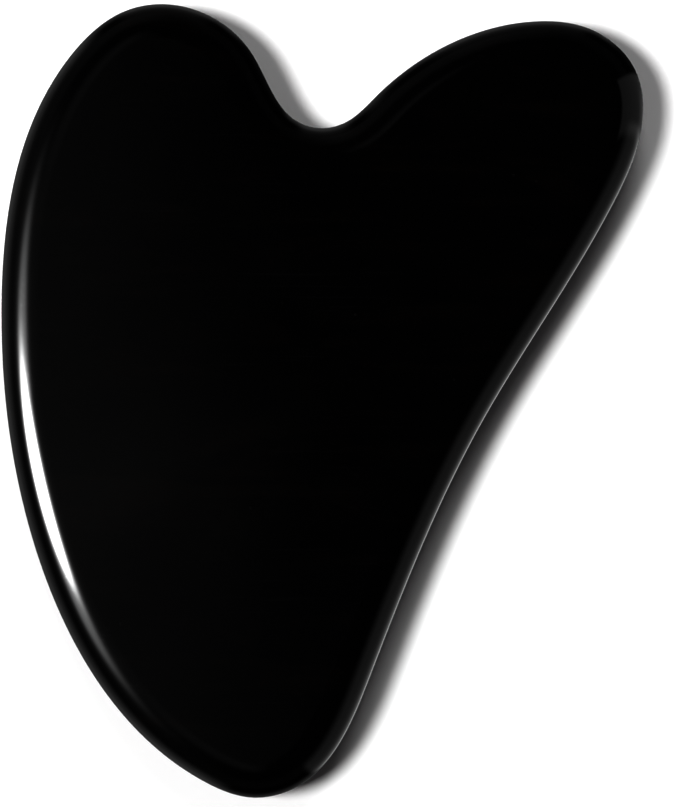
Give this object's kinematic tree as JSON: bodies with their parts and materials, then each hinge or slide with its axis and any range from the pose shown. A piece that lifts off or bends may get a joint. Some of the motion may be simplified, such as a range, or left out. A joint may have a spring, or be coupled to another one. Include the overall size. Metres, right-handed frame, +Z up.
{
  "type": "gua sha scraper",
  "caption": "Flat polished black stone scraper with a rounded rim: a high and a low lobe with a finger notch between them, a long rounded flank, a hollow flank and a tapered tip.",
  "frame": {"origin": "on the table, under the middle of the outline: the bottom centre of the bounding box", "axes": "+Z up out of the upper broad face, +Y along the length from the tip to the two lobes, +X across towards the low lobe and the hollow flank"},
  "size_m": [0.0647, 0.08, 0.007],
  "materials": {
    "black_stone": "high polish, volcanic glass, near black"
  },
  "bodies": {
    "root": {"scraper_stone": "black_stone"}
  },
  "joints": []
}
